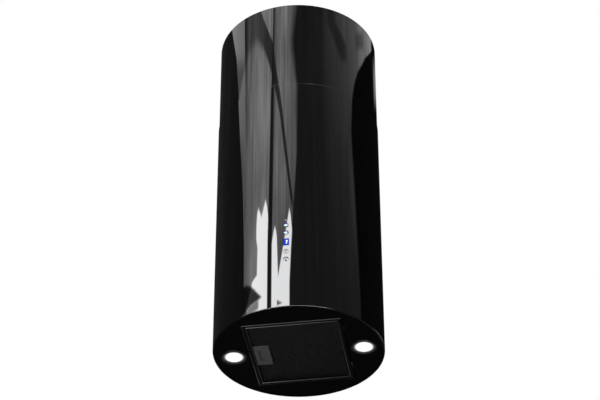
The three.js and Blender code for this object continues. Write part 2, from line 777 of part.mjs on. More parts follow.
function greaseFilter() {
  const hook = filterHook();
  return [
    mesh("filter_frame", filterFrame(), FILTER_BLACK),
    mesh("filter_face_mesh", filterLayer(1.7, 2.5), FILTER_BLACK),
    mesh("filter_core_mesh", filterLayer(2.8, 6.6), ALUMINIUM),
    mesh("filter_back_mesh", filterLayer(6.9, 7.7), ALUMINIUM),
    mesh("filter_hook_front", hook, SPRING_STEEL, [0, -HOOK.offset, 0]),
    mesh("filter_hook_back", hook, SPRING_STEEL, [0, HOOK.offset, 0]),
    mesh("latch_housing", latchHousing(), LATCH_GREY),
    mesh("latch_slider", latchSlider(), LATCH_GREY),
    mesh("latch_spring", latchSpring(), SPRING_STEEL, [0, 0, SPRING.height]),
  ];
}

// ---- The whole hood ----

const hood = group([0, 0, -TOTAL_HEIGHT], casing(), controls(), blower(), outlet(), electrics(), greaseFilter());

export default group([0, 0, 0], ceilingFrame(), hood);
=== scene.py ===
"""Looks of a cylindrical island range hood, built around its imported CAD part.

Everything is in the row frame: metres, +Z up, the ceiling at z = 0, the controls facing -Y.
Heights written as w are millimetres above the hood's lower rim, and plain x, y are millimetres too.
"""

import json
import math

import bmesh
import bpy
from mathutils import Matrix, Vector


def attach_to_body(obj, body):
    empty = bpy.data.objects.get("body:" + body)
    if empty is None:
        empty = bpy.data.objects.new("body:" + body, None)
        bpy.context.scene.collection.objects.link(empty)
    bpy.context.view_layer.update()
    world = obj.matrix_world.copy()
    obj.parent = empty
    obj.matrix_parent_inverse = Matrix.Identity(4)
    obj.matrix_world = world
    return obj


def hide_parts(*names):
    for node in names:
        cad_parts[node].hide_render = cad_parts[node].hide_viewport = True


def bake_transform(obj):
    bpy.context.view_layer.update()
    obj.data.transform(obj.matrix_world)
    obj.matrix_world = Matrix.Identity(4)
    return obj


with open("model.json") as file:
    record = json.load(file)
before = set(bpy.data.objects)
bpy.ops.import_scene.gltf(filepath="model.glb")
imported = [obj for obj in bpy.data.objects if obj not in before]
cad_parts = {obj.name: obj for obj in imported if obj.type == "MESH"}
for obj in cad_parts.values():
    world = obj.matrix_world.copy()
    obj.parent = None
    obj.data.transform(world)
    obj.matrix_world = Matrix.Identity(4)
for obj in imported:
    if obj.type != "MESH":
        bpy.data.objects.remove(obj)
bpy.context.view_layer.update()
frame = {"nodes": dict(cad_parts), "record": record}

MM = 0.001
DROP = 0.88  # ceiling to lower rim
TUBE_R = 195.0

scene = bpy.context.scene
record = frame["record"]
BODY_OF = {node: body for body, nodes in record["behaviour"]["bodies"].items() for node in nodes}
SLOT_OF = {part["node"]: part["material_slot"] for part in record["subparts"]}
done_nodes = set()


def at(x, y, w):
    """A point in the row frame from millimetres and a height above the rim."""
    return Vector((x * MM, y * MM, w * MM - DROP))


# ---- Shader arithmetic ----


class Num:
    """A number in a node tree, so that shader arithmetic reads as arithmetic."""

    def __init__(self, tree, value):
        self.tree, self.value = tree, value

    def op(self, operation, *others):
        node = self.tree.nodes.new("ShaderNodeMath")
        node.operation = operation
        for socket, number in zip(node.inputs, (self, *others)):
            plug(self.tree, number, socket)
        return Num(self.tree, node.outputs[0])

    def __add__(self, other):
        return self.op("ADD", other)

    def __radd__(self, other):
        return self.op("ADD", other)

    def __sub__(self, other):
        return self.op("SUBTRACT", other)

    def __rsub__(self, other):
        return Num(self.tree, other).op("SUBTRACT", self)

    def __mul__(self, other):
        return self.op("MULTIPLY", other)

    def __truediv__(self, other):
        return self.op("DIVIDE", other)

    def clamp(self, low, high):
        return self.op("MAXIMUM", low).op("MINIMUM", high)


def plug(tree, number, socket):
    """Joins a Num, a socket or a plain number to a socket."""
    source = number.value if isinstance(number, Num) else number
    if isinstance(source, bpy.types.NodeSocket):
        tree.links.new(source, socket)
    else:
        socket.default_value = source


def rise(x, low, high):
    """0 below low, 1 above high, smooth between."""
    node = x.tree.nodes.new("ShaderNodeMapRange")
    node.interpolation_type = "SMOOTHSTEP"
    for name, number in (("Value", x), ("From Min", low), ("From Max", high)):
        plug(x.tree, number, node.inputs[name])
    return Num(x.tree, node.outputs["Result"])


def below(x, edge, soft):
    """1 below the edge, with a soft step."""
    return 1 - rise(x, edge - soft, edge + soft)


def band(x, low, high, soft):
    """1 between low and high, with soft edges."""
    return rise(x, low - soft, low + soft) * below(x, high, soft)


def curve(x, points):
    """Straight lines through (x, y) points, flat beyond the ends."""
    xs, ys = [p[0] for p in points], [p[1] for p in points]
    x0, y0 = min(xs), min(ys)
    dx, dy = (max(xs) - x0) or 1, (max(ys) - y0) or 1
    node = x.tree.nodes.new("ShaderNodeFloatCurve")
    line = node.mapping.curves[0]
    while len(line.points) < len(points):
        line.points.new(0.5, 0.5)
    for point, (px, py) in zip(line.points, points):
        point.location = ((px - x0) / dx, (py - y0) / dy)
        point.handle_type = "VECTOR"
    node.mapping.update()
    plug(x.tree, ((x - x0) / dx).clamp(0, 1), node.inputs["Value"])
    return Num(x.tree, node.outputs["Value"]) * dy + y0


def spread(value, low, high, source=(0.3, 0.7)):
    """Maps a pattern to low..high."""
    node = value.tree.nodes.new("ShaderNodeMapRange")
    plug(value.tree, value, node.inputs["Value"])
    for name, number in zip(("From Min", "From Max", "To Min", "To Max"), (*source, low, high)):
        node.inputs[name].default_value = number
    return Num(value.tree, node.outputs["Result"])


def coordinates(tree, kind):
    """The three texture coordinates of a kind."""
    place = tree.nodes.new("ShaderNodeTexCoord")
    parts = tree.nodes.new("ShaderNodeSeparateXYZ")
    tree.links.new(place.outputs[kind], parts.inputs[0])
    return [Num(tree, parts.outputs[i]) for i in range(3)]


def streaks(u, v, scale, low, high, seed):
    """Noise over two coordinates, from low to high."""
    tree = u.tree
    vector = tree.nodes.new("ShaderNodeCombineXYZ")
    plug(tree, u, vector.inputs[0])
    plug(tree, v, vector.inputs[1])
    vector.inputs[2].default_value = seed
    noise = tree.nodes.new("ShaderNodeTexNoise")
    noise.inputs["Scale"].default_value = scale
    noise.inputs["Detail"].default_value = 3
    tree.links.new(vector.outputs[0], noise.inputs["Vector"])
    return spread(Num(tree, noise.outputs[0]), low, high)


# ---- The room in the reflections: a window in two panes, a dim wall and soft panels ----
#
# Only glossy rays see it. It is drawn over the direction that a reflection looks in, in degrees:
# az is 0 to the front and + towards +X, and el is the height above the horizon. The camera sees the
# part between 33 and 42 degrees up, so that is where the detail is.

WINDOW_WHITE = 8.6  # strength of the window's white zones


def window_edges(el):
    """Azimuths of the window's left and right edge, and the middle and half width of its bar."""
    left = curve(el, [(33.5, -71), (35, -72), (36.5, -75.5), (39.5, -89.5), (40.5, -96), (41.7, -116)])
    right = curve(el, [(34, -4), (35, -2), (37.8, 6), (39.7, 6.5), (40.8, -1), (41.1, -1.5), (42, 4)])
    bar = curve(el, [(35.2, -31.5), (36.4, -30.5), (39.3, -29), (41.6, -27)])
    bar_half = curve(el, [(36, 3.1), (41.6, 2.2)])
    return left, right, bar, bar_half


def slanting_line(az, el):
    """A dark line that slants across the right pane and opens into a soft arch over the left one."""
    outer = curve(el, [(36.2, 2), (39, -14), (39.6, -18), (40, -22), (41, -29.5), (41.9, -50)])
    # Its lower side is straight over the right pane and a parabola over the left one.
    line = 39.05 - (az + 19) * 0.16
    arch = 40.95 - (az + 55) * (az + 55) * 0.0015
    inner = line.op("MINIMUM", arch)
    soft = curve(az, [(-70, 0.28), (-55, 0.24), (-30, 0.08)])
    dark = rise(el, 36.0, 36.5) * rise(el, inner - soft, inner + soft) * below(az, outer, 0.8)
    return dark * curve(az, [(-62, 0.62), (-38, 0.92)])


def left_pane(az, el, grey):
    """Light of the left pane, and the upper part of its bright strip."""
    # A bright strip along the left edge, with a dark line beside it.
    strip_right = curve(el, [(37.7, -71.5), (41.5, -79)])
    strip = rise(el, 37.0, 38.6) * below(az, strip_right, 0.8)
    beside = rise(el, 37.5, 39.0) * band(az, strip_right, strip_right + 4.5, 1.4)
    across = curve(az, [(-76, 0.4), (-55, 1.1), (-40, 1.25)])
    light = (grey * across * 1.25 - beside * 0.25) * (1 - strip)
    light = light + strip * curve(el, [(38, 0.85), (40.5, 1.15)])
    # A white zone at the foot, with a jagged top.
    top = curve(
        az,
        [(-52, 35.6), (-50.2, 36.05), (-48.5, 36.15), (-43.8, 35.9), (-38, 36.4), (-36, 36.25),
         (-33.8, 35.9)],
    )
    side = curve(el, [(33.2, -66), (34, -57), (34.2, -50), (35, -49.5), (35.25, -51.5)])
    white = below(el, top, 0.08) * rise(az, side - 1.0, side + 1.0)
    light = light * (1 - white) + white * WINDOW_WHITE
    # A dark leaf across the foot, with a grey patch under it.
    leaf_top = curve(az, [(-76, 33.8), (-66, 33.9), (-58, 33.86), (-42, 33.56)])
    leaf_foot = curve(az, [(-76, 32.9), (-60, 33.28), (-42, 33.56)])
    leaf = band(el, leaf_foot, leaf_top, 0.05) * below(az, -42.5, 1)
    patch = band(el, leaf_foot - 0.26, leaf_foot, 0.05) * band(az, -68, -47, 2)
    return light * (1 - leaf * 0.97) * (1 - patch * 0.78), strip * rise(el, 40, 40.8)


def right_pane(az, el, right_edge, grey):
    """Light of the right pane."""
    fade = curve(az - right_edge, [(-16, 1.1), (-6, 0.7), (0, 0.55)])
    light = grey * curve(el, [(35.2, 0.85), (38.5, 1.3), (41, 1.4)]) * fade
    # A white zone at the foot, with two peaks.
    top = curve(
        az,
        [(-30.5, 34.9), (-25, 35.6), (-23.5, 35.6), (-21.5, 35.35), (-19.5, 34.15), (-4.2, 36.15),
         (-2.6, 36), (1, 35.2)],
    )
    white = below(el, top, 0.08)
    # A small dark wedge low in the white.
    across, up = (az + 17) / 3.6, (el - 33.4) / 0.075
    wedge = below(up.op("ABSOLUTE") - (1 - across) * 0.55, 0, 0.25) * rise(across, -1.2, -0.9)
    return (light * (1 - white) + white * WINDOW_WHITE) * (1 - wedge * 0.85)


def window_light(az, el, edges):
    """Light of the whole window."""
    left, right, bar, bar_half = edges
    fine = streaks(az * 0.9, el * 0.55, 0.42, 0.72, 1.24, 3.0)
    broad = streaks(az * 0.16, el * 0.5, 0.9, 0.76, 1.24, 8.0)
    grey = fine * broad
    left_light, strip = left_pane(az, el, grey)
    right_soft = curve(el, [(36, 0.9), (39.6, 2), (40.6, 5)])
    panes = band(az, left, bar - bar_half, 0.7) * left_light
    panes = panes + band(az, bar + bar_half, right, right_soft) * right_pane(az, el, right, grey)
    panes = panes * (1 - slanting_line(az, el) * (1 - strip) * 0.93)
    bar_light = band(az, bar - bar_half, bar + bar_half, 0.8) * 0.07
    # Dim below the part that the camera sees, and gone beyond 30 degrees down and 60 up.
    reach = rise(el, -30, -22) * (1 - rise(el, 52, 60))
    return (panes + bar_light) * reach * curve(el, [(-10, 0.2), (30.5, 0.3), (32.7, 1.0)])


def wall_light(az, el, wall_end):
    """A dim wall to the right, brighter towards the top and its far edge, with dark feathers high on it."""
    light = curve(el, [(33.5, 0.01), (36.4, 0.07), (37.8, 0.12), (41.5, 0.38)])
    light = light * curve(az, [(43, 0.05), (48, 0.26), (65, 0.62), (104, 1.2), (114, 2)])
    feather_left = curve(el, [(40.2, 80), (41.6, 52)])
    feather_right = curve(el, [(40.2, 85), (40.9, 84), (41.6, 66)])
    feather = band(az, feather_left, feather_right, 4) * rise(el, 40.25, 40.6)
    smudge = band(az, 104, 124, 5) * band(el, 40.75, 41.25, 0.15)
    light = light * (1 - feather * 0.75) * (1 - smudge * 0.6)
    light = light * streaks(az * 0.16, el * 0.5, 0.8, 0.75, 1.2, 21.0)
    wall = band(az, 26, wall_end, curve(az, [(26, 6), (60, 1.8), (95, 1.2), (120, 4)])) * light
    rim = band(az, wall_end - 7, wall_end, 2.5) * curve(el, [(34.5, 0), (35.5, 0.05), (37, 0.07), (38.5, 0)])
    return wall + rim


def reflected_light(tree):
    """How bright the room is in every direction."""
    x, y, z = coordinates(tree, "Generated")
    degrees = 180 / math.pi
    az = x.op("ARCTAN2", y * -1) * degrees
    el = z.op("ARCSINE") * degrees
    edges = window_edges(el)
    left, right = edges[:2]
    wall_end = curve(
        el,
        [(33.5, 100), (38.4, 89.5), (39.3, 92.5), (39.8, 99.5), (40.1, 106.5), (40.5, 126), (40.7, 150)],
    )
    # Bright patches on the floor and ceiling, which only rounded edges pick up.
    front = band(az, -118, 92, 10)
    patches = front * band(el, -82, -64, 2) * 11 + front * band(el, 67, 76, 1.5) * 12
    # Faint light left of the window, between it and the wall, and far round on the right.
    far_left = below(az, left - 1, 1) * 0.03 * streaks(az * 0.4, el * 0.3, 0.8, 0.6, 1.3, 30.0)
    middle = band(az, right, wall_end, 2) * 0.07 * streaks(az * 0.5, el * 0.4, 0.6, 0.8, 1.2, 12.0)
    far_right = band(az, 158, 184, 5) * band(el, 39.2, 40.3, 0.35) * 0.35
    # Soft panels behind, for the views from the back.
    panels = band(az, 118, 142, 5) + band(az, -168, -146, 6) * 0.8
    panels = panels * band(el, -19, 18, 6) * 1.3
    rest = far_left + middle + far_right + panels + 0.006
    return window_light(az, el, edges) + patches + wall_light(az, el, wall_end) + rest


def make_world():
    """White to the camera, a soft white light on matt things, and the room above in reflections."""
    world = bpy.data.worlds.new("studio")
    scene.world = world
    world.use_nodes = True
    tree = world.node_tree
    tree.nodes.clear()

    def background(colour, strength):
        node = tree.nodes.new("ShaderNodeBackground")
        node.inputs["Color"].default_value = (*colour, 1)
        plug(tree, strength, node.inputs["Strength"])
        return node.outputs[0]

    def mixed(*sources):
        node = tree.nodes.new("ShaderNodeMixShader")
        for source, socket in zip(sources, node.inputs):
            tree.links.new(source, socket)
        return node.outputs[0]

    surround = background((1, 1, 1), 1.0)
    ambient = background((0.98, 0.99, 1), 0.8)
    room = background((0.985, 0.99, 1), reflected_light(tree))
    ray = tree.nodes.new("ShaderNodeLightPath").outputs
    unseen = mixed(ray["Is Glossy Ray"], ambient, room)
    output = tree.nodes.new("ShaderNodeOutputWorld")
    tree.links.new(mixed(ray["Is Camera Ray"], unseen, surround), output.inputs["Surface"])


# ---- Studio and camera ----

FLOOR_REACH, FLOOR_Z = 90, -7.5
KEY_PLACE, KEY_TARGET = Vector((-2.2, -3.2, -1.4)), Vector((0, 0, -0.6))


def make_studio():
    scene.view_settings.view_transform = "Standard"
    scene.view_settings.look = "None"
    make_world()
    floor_mesh = bpy.data.meshes.new("floor")
    signs = ((-1, -1), (1, -1), (1, 1), (-1, 1))
    corners = [(sx * FLOOR_REACH, sy * FLOOR_REACH, FLOOR_Z) for sx, sy in signs]
    floor_mesh.from_pydata(corners, [], [(0, 1, 2, 3)])
    floor_mesh.materials.append(plain_floor())
    floor = add_object("floor", floor_mesh)
    floor.visible_glossy = False

    lamp = bpy.data.lights.new("key", "AREA")
    lamp.shape, lamp.size, lamp.energy = "DISK", 2.5, 60
    key = add_object("key", lamp)
    key.location = KEY_PLACE
    key.rotation_euler = (KEY_TARGET - KEY_PLACE).to_track_quat("-Z", "Y").to_euler()
    key.visible_glossy = False


def make_camera():
    """A camera low in front and a little to the right, looking up, fitted to the rim, sides and lamps."""
    lens = bpy.data.cameras.new("camera")
    lens.sensor_width, lens.lens = 36, 117.8
    lens.clip_start, lens.clip_end = 0.05, 200
    distance, height = 3.778, -3.236
    turn, pitch, yaw, roll = (math.radians(angle) for angle in (8.317, 36.401, 0.056, 0.161))
    forward = Vector((math.sin(yaw) * math.cos(pitch), math.cos(yaw) * math.cos(pitch), math.sin(pitch)))
    side = Vector((math.cos(yaw), -math.sin(yaw), 0))
    down = -side.cross(forward)
    right = side * math.cos(roll) + down * math.sin(roll)
    lower = down * math.cos(roll) - side * math.sin(roll)
    spin = Matrix.Rotation(turn, 3, "Z")
    camera = add_object("camera", lens)
    camera.matrix_world = Matrix([spin @ right, spin @ -lower, spin @ -forward]).transposed().to_4x4()
    camera.location = (distance * math.sin(turn), -distance * math.cos(turn), height)
    scene.camera = camera


# ---- Materials ----


def new_material(name):
    made = bpy.data.materials.new(name)
    made.use_nodes = True
    tree = made.node_tree
    return made, tree, tree.nodes["Principled BSDF"]


def noise_of(tree, scale, stretch=(1, 1, 1), detail=4.0, roughness=0.55, kind="ShaderNodeTexNoise"):
    """A procedural pattern over the piece's own coordinates, as a Num from 0 to 1."""
    place = tree.nodes.new("ShaderNodeTexCoord")
    mapping = tree.nodes.new("ShaderNodeMapping")
    mapping.inputs["Scale"].default_value = stretch
    tree.links.new(place.outputs["Object"], mapping.inputs["Vector"])
    pattern = tree.nodes.new(kind)
    pattern.inputs["Scale"].default_value = scale
    if kind == "ShaderNodeTexNoise":
        pattern.inputs["Detail"].default_value = detail
        pattern.inputs["Roughness"].default_value = roughness
    tree.links.new(mapping.outputs[0], pattern.inputs["Vector"])
    return Num(tree, pattern.outputs[0])


def tint(tree, shader, share, dark, light):
    """Base colour between two colours by a pattern."""
    mix = tree.nodes.new("ShaderNodeMix")
    mix.data_type = "RGBA"
    plug(tree, share, mix.inputs["Factor"])
    for socket in mix.inputs:
        if socket.type == "RGBA" and socket.name in "AB":
            socket.default_value = (*(dark if socket.name == "A" else light), 1)
    colour = next(o for o in mix.outputs if o.type == "RGBA")
    tree.links.new(colour, shader.inputs["Base Color"])


def add_bump(tree, shader, height, distance, under=None):
    bump = tree.nodes.new("ShaderNodeBump")
    bump.inputs["Distance"].default_value = distance
    bump.inputs["Strength"].default_value = 1.0
    plug(tree, height, bump.inputs["Height"])
    if under is not None:
        tree.links.new(under, bump.inputs["Normal"])
    tree.links.new(bump.outputs[0], shader.inputs["Normal"])
    return bump.outputs[0]


def surface(
    name,
    colour,
    roughness,
    metallic=0.0,
    vary=0.18,
    grain=900,
    stretch=(1, 1, 1),
    bump=0.00003,
    ior=1.5,
    kind="ShaderNodeTexNoise",
):
    """A material with a mottled colour, uneven gloss and a fine grain."""
    made, tree, shader = new_material(name)
    blotch = noise_of(tree, 38, detail=5)
    fine = noise_of(tree, grain, stretch, kind=kind)
    share = spread(blotch * 0.5 + fine * 0.5, 0, 1)
    tint(tree, shader, share, [c * (1 - vary) for c in colour], [min(1, c * (1 + vary)) for c in colour])
    gloss = noise_of(tree, 90, detail=6) * 0.6 + fine * 0.4
    plug(tree, spread(gloss, roughness * 0.82, roughness * 1.22), shader.inputs["Roughness"])
    shader.inputs["Metallic"].default_value = metallic
    shader.inputs["IOR"].default_value = ior
    add_bump(tree, shader, fine, bump)
    return made


def plain_floor():
    made, tree, shader = new_material("pale_floor")
    tint(tree, shader, spread(noise_of(tree, 1.5), 0, 1), (0.895, 0.895, 0.89), (0.905, 0.905, 0.9))
    shader.inputs["Roughness"].default_value = 0.9
    return made


def gloss_black():
    """Lacquered sheet steel: mirror-like, with the faint vertical waves of rolled sheet and wipe marks."""
    made, tree, shader = new_material("gloss_black")
    blotch = noise_of(tree, 30, detail=6)
    tint(tree, shader, spread(blotch, 0, 1), (0.0011, 0.0011, 0.0012), (0.0018, 0.0018, 0.002))
    wipes = noise_of(tree, 7, (1, 1, 0.35), detail=8, roughness=0.7)
    plug(tree, spread(wipes, 0.008, 0.02, (0.35, 0.75)), shader.inputs["Roughness"])
    shader.inputs["IOR"].default_value = 1.8
    waves = noise_of(tree, 22, (1, 1, 0.07), detail=1)
    under = add_bump(tree, shader, waves, 0.000035)
    peel = noise_of(tree, 260, detail=2)
    add_bump(tree, shader, peel, 0.0000012, under=under)
    return made


def lamp_part(name, centre_x, dark, light, roughness, glow):
    """A lens or its rim: glow gives the light's strength at distances from the lamp's middle, in mm; on the
    rim it is painted glow, the lens's light painted onto the dark bezel as emission.
    """
    made, tree, shader = new_material(name)
    tint(tree, shader, spread(noise_of(tree, 300), 0, 1), (dark, dark, dark), (light, light, light))
    plug(tree, spread(noise_of(tree, 400), roughness * 0.85, roughness * 1.15), shader.inputs["Roughness"])
    x, y = coordinates(tree, "Object")[:2]
    x = x - centre_x * MM
    radius = (x * x + y * y).op("SQRT") / MM
    plug(tree, curve(radius, glow), shader.inputs["Emission Strength"])
    shader.inputs["Emission Color"].default_value = (0.97, 0.98, 1, 1)
    add_bump(tree, shader, noise_of(tree, 1500, kind="ShaderNodeTexVoronoi"), 0.00004)
    return made


def glowing(name, colour, strength, roughness=0.2, ior=1.3):
    """Glowing colour for the display's face, its symbols and the painted glints, a little uneven."""
    made, tree, shader = new_material(name)
    share = spread(noise_of(tree, 700), 0, 1)
    tint(tree, shader, share, [c * 0.5 for c in colour], [c * 0.7 for c in colour])
    shader.inputs["Roughness"].default_value = roughness
    shader.inputs["IOR"].default_value = ior
    shader.inputs["Emission Color"].default_value = (*colour, 1)
    uneven = spread(noise_of(tree, 240), strength * 0.85, strength * 1.1)
    plug(tree, uneven, shader.inputs["Emission Strength"])
    add_bump(tree, shader, noise_of(tree, 900), 0.00001)
    return made


def galvanised():
    """Zinc spangle: cells of slightly different grey."""
    made, tree, shader = new_material("galvanised")
    cells = noise_of(tree, 130, kind="ShaderNodeTexVoronoi")
    grime = noise_of(tree, 24, detail=6)
    share = spread(cells * 0.6 + grime * 0.5, 0, 1, (0.1, 0.7))
    tint(tree, shader, share, (0.3, 0.31, 0.32), (0.46, 0.47, 0.48))
    plug(tree, spread(cells * 0.5 + grime * 0.5, 0.34, 0.55), shader.inputs["Roughness"])
    shader.inputs["Metallic"].default_value = 0.85
    add_bump(tree, shader, noise_of(tree, 800), 0.00002)
    return made


def mesh_black():
    """Blackened wire, speckled, and duller towards the front where grease settles."""
    made, tree, shader = new_material("filter_mesh")
    speckle = noise_of(tree, 240, detail=2)
    tint(tree, shader, spread(speckle, 0, 1), (0.0008, 0.0008, 0.0008), (0.0062, 0.0062, 0.0063))
    grease = spread(coordinates(tree, "Object")[1], 0.36, 0.2, (-0.12, 0.12))
    plug(tree, grease * spread(speckle, 0.8, 1.2), shader.inputs["Roughness"])
    shader.inputs["IOR"].default_value = 1.25
    add_bump(tree, shader, speckle, 0.000004)
    return made


def printed(name, colour):
    return surface(name, colour, 0.6, vary=0.12, grain=2200, bump=0.00001, ior=1.2)


def moulded(name, colour, roughness):
    return surface(name, colour, roughness, grain=1600, bump=0.00006)


MATERIALS = {
    "gloss_black": gloss_black(),
    "panel_black": surface(
        "panel_black", (0.0014, 0.0014, 0.0015), 0.09, vary=0.3, grain=1400, bump=0.000003, ior=1.2
    ),
    "filter_black": surface(
        "filter_black", (0.0016, 0.0016, 0.0017), 0.11, vary=0.3, grain=1100, bump=0.000003, ior=1.45
    ),
    "latch_grey": surface("latch_grey", (0.034, 0.034, 0.0345), 0.42, vary=0.1, grain=1300, bump=0.00005),
    "galvanised": galvanised(),
    "aluminium": surface(
        "aluminium", (0.42, 0.425, 0.43), 0.36, metallic=0.9, grain=500, stretch=(0.08, 1, 1)
    ),
    "spring_steel": surface(
        "spring_steel", (0.3, 0.31, 0.32), 0.28, metallic=1.0, grain=700, stretch=(1, 0.1, 1)
    ),
    "black_plastic": moulded("black_plastic", (0.012, 0.012, 0.0125), 0.5),
    "gloss_black_plastic": gloss_black(),
    "grey_plastic": moulded("grey_plastic", (0.16, 0.165, 0.17), 0.52),
    "circuit_board": surface(
        "circuit_board", (0.015, 0.09, 0.035), 0.35, grain=260, kind="ShaderNodeTexVoronoi"
    ),
    "display_blue": glowing("display_blue", (0.016, 0.036, 0.36), 0.75, 0.6, 1.02),
}
PRINT_WHITE = glowing("print_white", (0.72, 0.8, 1.0), 0.75, 0.6)
PRINT_BLUE = glowing("print_blue", (0.02, 0.05, 0.4), 0.5, 0.5, 1.05)
# Painted glint: a glowing green that stands in for glints at the rims of the upper buttons.
PAINTED_GLINT_GREEN = glowing("painted_glint_green", (0.02, 0.2, 0.09), 0.6, 0.5, 1.05)
PRINT_PALE = printed("print_pale", (0.02, 0.06, 0.1))
PRINT_GREY = printed("print_grey", (0.07, 0.06, 0.09))


# ---- Mesh helpers ----


def add_object(name, data):
    made = bpy.data.objects.new(name, data)
    scene.collection.objects.link(made)
    return made


def attach(obj, node=None, body=None):
    """Hands a piece to the frame: its body and the CAD node that it stands for."""
    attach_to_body(obj, body or BODY_OF[node])
    if node:
        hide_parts(node)
        done_nodes.add(node)
    return obj


def finish_mesh(obj, sharp=32, bevel=0.0, segments=2):
    """Smooth shading with sharp creases, and rounded edges if asked."""
    obj.data.shade_smooth()
    obj.data.set_sharp_from_angle(angle=math.radians(sharp))
    if bevel:
        edges = obj.modifiers.new("edges", "BEVEL")
        edges.width, edges.segments = bevel * MM, segments
        edges.limit_method, edges.angle_limit = "ANGLE", math.radians(sharp)
        edges.harden_normals = True
    return obj


def from_bm(name, bm, material):
    mesh = bpy.data.meshes.new(name)
    bm.to_mesh(mesh)
    bm.free()
    mesh.materials.append(material)
    return add_object(name, mesh)


def closed(name, bm, material):
    """An object from closed shapes, with their faces turned outwards."""
    bmesh.ops.recalc_face_normals(bm, faces=bm.faces)
    return from_bm(name, bm, material)


def carve(obj, cutter, operation="DIFFERENCE"):
    """Cuts one object out of another, or joins the two."""
    cut = obj.modifiers.new("cut", "BOOLEAN")
    cut.operation, cut.solver, cut.object = operation, "EXACT", cutter
    bpy.context.view_layer.update()
    graph = bpy.context.evaluated_depsgraph_get()
    mesh = bpy.data.meshes.new_from_object(obj.evaluated_get(graph))
    obj.modifiers.clear()
    obj.data = mesh
    bpy.data.objects.remove(cutter)
    return obj


def arc(centre, radius, start, end, steps=5):
    """Points on an arc, angles in degrees anticlockwise from the first axis."""
    angles = [math.radians(start + (end - start) * i / steps) for i in range(steps + 1)]
    return [(centre[0] + radius * math.cos(a), centre[1] + radius * math.sin(a)) for a in angles]


def circle(centre, radius, steps):
    return arc(centre, radius, 0, 360, steps)[:-1]


def bridge(bm, one, two):
    """Joins two closed rings of corners with quads."""
    for i in range(len(one)):
        k = (i + 1) % len(one)
        bm.faces.new((one[i], two[i], two[k], one[k]))


def lathe_bm(profile, steps, centre_x=0.0):
    """Turns a closed profile of (radius, w) points, listed anticlockwise, about a vertical axis."""
    bm = bmesh.new()
    rings = []
    for i in range(steps):
        a = 2 * math.pi * i / steps
        ring = [at(centre_x + r * math.sin(a), -r * math.cos(a), w) for r, w in profile]
        rings.append([bm.verts.new(point) for point in ring])
    for i in range(steps):
        one, two = rings[i], rings[(i + 1) % steps]
        for j in range(len(profile)):
            k = (j + 1) % len(profile)
            on_axis = profile[j][0] == 0 and profile[k][0] == 0
            if not on_axis:
                bm.faces.new((one[j], two[j], two[k], one[k]))
    bmesh.ops.remove_doubles(bm, verts=bm.verts, dist=1e-7)
    bmesh.ops.recalc_face_normals(bm, faces=bm.faces)
    return bm


def round_normals(obj, centre_x=0.0):
    """Gives a turned mesh the normals of true rounds, so that it mirrors without facets."""
    mesh = obj.data
    mesh.shade_smooth()

    def axes_at(point):
        out = Vector((point.x - centre_x * MM, point.y, 0)).normalized()
        return out, Vector((-out.y, out.x, 0))

    normals = [Vector((0, 0, 1))] * len(mesh.loops)
    for polygon in mesh.polygons:
        out, along = axes_at(polygon.center)
        n = polygon.normal
        outward, sideways, upward = n.dot(out), n.dot(along), n.z
        if abs(outward) > 0.985:  # a wall of the tube, and not its rounded edges
            outward, sideways, upward = math.copysign(1, outward), 0, 0
        for index in polygon.loop_indices:
            out, along = axes_at(mesh.vertices[mesh.loops[index].vertex_index].co)
            normals[index] = (out * outward + along * sideways + Vector((0, 0, upward))).normalized()
    mesh.normals_split_custom_set(normals)
    return obj


def box_bm(bm, low, high):
    """Adds a box between two corners in (x, y, w) to a bmesh."""
    (x0, y0, w0), (x1, y1, w1) = low, high
    around = ((x0, y0), (x1, y0), (x1, y1), (x0, y1))
    corners = [bm.verts.new(at(x, y, w)) for w in (w0, w1) for x, y in around]
    for quad in ((3, 2, 1, 0), (4, 5, 6, 7), (0, 1, 5, 4), (1, 2, 6, 5), (2, 3, 7, 6), (3, 0, 4, 7)):
        bm.faces.new([corners[i] for i in quad])


def box(name, low, high, material=None):
    bm = bmesh.new()
    box_bm(bm, low, high)
    return closed(name, bm, material)


def prism_bm(bm, outline, to_low, to_high):
    """Adds a prism between two placings of an outline."""
    low, high = [bm.verts.new(to_low(p)) for p in outline], [bm.verts.new(to_high(p)) for p in outline]
    bm.faces.new(low)
    bm.faces.new(high)
    bridge(bm, low, high)


def cad_shape(node, material=None):
    """A CAD node's shape with merged flats, as an unfinished object."""
    bm = bmesh.new()
    bm.from_mesh(frame["nodes"][node].data)
    bmesh.ops.remove_doubles(bm, verts=bm.verts, dist=2e-6)
    bmesh.ops.dissolve_limit(bm, angle_limit=math.radians(0.6), verts=bm.verts, edges=bm.edges)
    return from_bm(node + "_look", bm, material or MATERIALS[SLOT_OF[node]])


def refined(node, bevel=0.35, sharp=32, segments=2, material=None):
    """A CAD node's shape with merged flats, rounded edges and smooth rounds."""
    obj = cad_shape(node, material)
    finish_mesh(obj, sharp, bevel, segments)
    return attach(obj, node)


# ---- Tubes ----

BUTTON_HEIGHTS = {
    "button_light": 125,
    "button_speed_down": 145.5,
    "button_speed_up": 196.5,
    "button_power": 217,
}
STATUS_LIGHT_HEIGHT = 231
BUTTON_HOLE, STATUS_HOLE = 6.5, 2.3  # radii
TUBE_STEPS = 256


